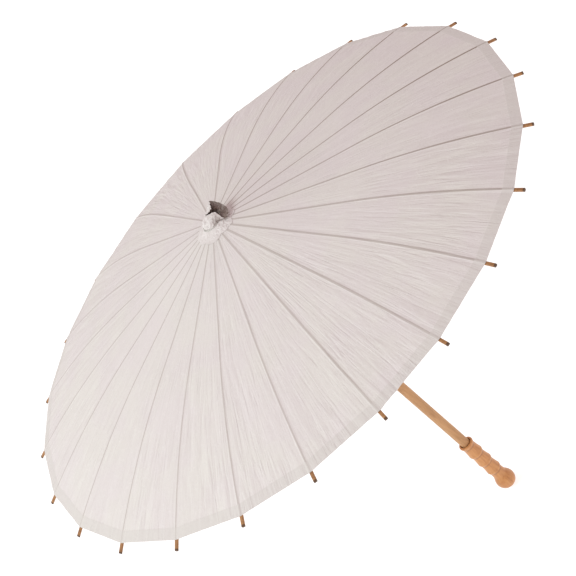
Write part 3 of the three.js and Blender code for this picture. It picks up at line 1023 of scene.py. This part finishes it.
def make_wires():
    for name, centre, body, node in (
        ("notch_wire_ring", HINGE, "frame", "notch_wire"),
        ("runner_wire_ring", FOOT, "runner", "runner_wire"),
    ):
        points, faces = torus(centre.x, 0.4 * MM, centre.z, 144, 10)
        ring = make_object(name, points, faces, steel_wire)
        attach(ring, body)
        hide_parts(node)
    radius = TIE[1].x - 0.6 * MM
    turns = [torus(radius, 0.4 * MM, WAIST + d * MM, 120, 8, twist=30.0) for d in (-0.75, 0, 0.75)]
    points, faces = join(*turns)
    tie = make_object("cap_tie", points, faces, white_thread)
    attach(tie, "frame")
    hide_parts("cap_thread")


def make_joint_threads():
    """A length of thread for each rib, from the middle of one bay to the middle of the next."""
    sides, steps, thickness = 8, 20, 0.33 * MM
    for k, number in enumerate(spoke_names()):
        rings = []
        for i in range(steps + 1):
            reach = -1 + 2 * i / steps
            w, side = abs(reach), (1 if reach >= 0 else -1)
            a0, a1 = k * STEP, k * STEP + side * HALF_STEP
            c = ELBOW.x * (math.cos(a0) + (math.cos(a1) * math.cos(HALF_STEP) - math.cos(a0)) * w)
            s = ELBOW.x * (math.sin(a0) + (math.sin(a1) * math.cos(HALF_STEP) - math.sin(a0)) * w)
            out = Vector((c, s, 0)).normalized()
            ring = []
            for j in range(sides):
                around = 2 * math.pi * j / sides
                strand = thickness * (1 + 0.15 * math.cos(2 * (around + i * 0.9)))
                rise = Vector((0, 0, strand * math.sin(around)))
                ring.append(Vector((c, s, ELBOW.z)) + out * strand * math.cos(around) + rise)
            rings.append(ring)
        points, faces = loft(rings)
        thread = make_object(f"joint_thread_{number}", points, faces, white_thread)
        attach(thread, f"rib_{number}")
        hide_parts("joint_thread")
        fold_away(thread)


# ---- Everything ----
make_links()
gores, gore_lengths = make_canopy()
cap_tube = make_cap()
skirts = make_skirt()
make_shaft()
make_handle()
make_heads()
make_wires()
make_joint_threads()
for node_name in ("catch_spring", "notch_pin"):
    node = frame["nodes"][node_name]
    node.data.materials.clear()
    node.data.materials.append(rib_bamboo)

for k, (gore, skirt) in enumerate(zip(gores, skirts)):
    fold_away(gore)
    fold_away(skirt)


# ---- Stage, light, camera ----
def make_stage():
    floor_z = -6 * MM
    size = 30.0
    points = [(-size, -size, floor_z), (size, -size, floor_z), (size, size, floor_z), (-size, size, floor_z)]
    material = bpy.data.materials.new("studio_floor")
    material.use_nodes = True
    tree = material.node_tree
    shader = tree.nodes["Principled BSDF"]
    shader.inputs["Base Color"].default_value = (0.5, 0.5, 0.5, 1)
    shader.inputs["Roughness"].default_value = 0.9
    shader.inputs["Emission Color"].default_value = (1, 1, 1, 1)
    shader.inputs["Emission Strength"].default_value = 0.75
    floor = make_object("studio_floor", points, [(0, 1, 2, 3)], material, smooth=False)


AIM = Vector((0, 0, 519 * MM))  # middle of the circle of the ribs' tips
CAMERA_AZIMUTH = math.radians(-39.8)
CAMERA_ELEVATION = math.radians(30)
CAMERA_ROLL = math.radians(-48.85)
CAMERA_DISTANCE = 2.7
CAMERA_LENS = 129.5
CAMERA_SIDE = 21.4 * MM
CAMERA_RISE = -18.4 * MM


def camera_axes():
    back = Vector((
        math.sin(CAMERA_AZIMUTH) * math.cos(CAMERA_ELEVATION),
        -math.cos(CAMERA_AZIMUTH) * math.cos(CAMERA_ELEVATION),
        math.sin(CAMERA_ELEVATION),
    ))
    level = Vector((math.cos(CAMERA_AZIMUTH), math.sin(CAMERA_AZIMUTH), 0))
    above = back.cross(level)
    right = math.cos(CAMERA_ROLL) * level + math.sin(CAMERA_ROLL) * above
    up = -math.sin(CAMERA_ROLL) * level + math.cos(CAMERA_ROLL) * above
    return right, up, back


def make_camera():
    right, up, back = camera_axes()
    data = bpy.data.cameras.new("camera")
    data.lens = CAMERA_LENS
    data.sensor_width = 36
    data.clip_end = 100
    camera = bpy.data.objects.new("camera", data)
    bpy.context.scene.collection.objects.link(camera)
    camera.location = AIM + CAMERA_SIDE * right + CAMERA_RISE * up + CAMERA_DISTANCE * back
    camera.rotation_mode = "QUATERNION"
    camera.rotation_quaternion = Matrix((right, up, back)).transposed().to_quaternion()
    bpy.context.scene.camera = camera


def area_light(name, direction, distance, size, power, colour=(1, 1, 1)):
    data = bpy.data.lights.new(name, "AREA")
    data.shape = "DISK"
    data.size = size
    data.energy = power
    data.color = colour
    lamp = bpy.data.objects.new(name, data)
    bpy.context.scene.collection.objects.link(lamp)
    towards = Vector(direction).normalized()
    lamp.location = AIM + towards * distance
    lamp.rotation_mode = "QUATERNION"
    lamp.rotation_quaternion = towards.to_track_quat("Z", "Y")


def make_light():
    world = bpy.data.worlds.new("studio")
    bpy.context.scene.world = world
    world.use_nodes = True
    world.node_tree.nodes["Background"].inputs["Color"].default_value = (1.0, 0.83, 0.84, 1)
    world.node_tree.nodes["Background"].inputs["Strength"].default_value = 0.64
    area_light("key", (-0.615, 0.35, 0.707), 8.0, 4.0, 380, (0.84, 1.0, 0.99))


make_stage()
make_camera()
make_light()
bpy.context.scene.view_settings.view_transform = "Standard"
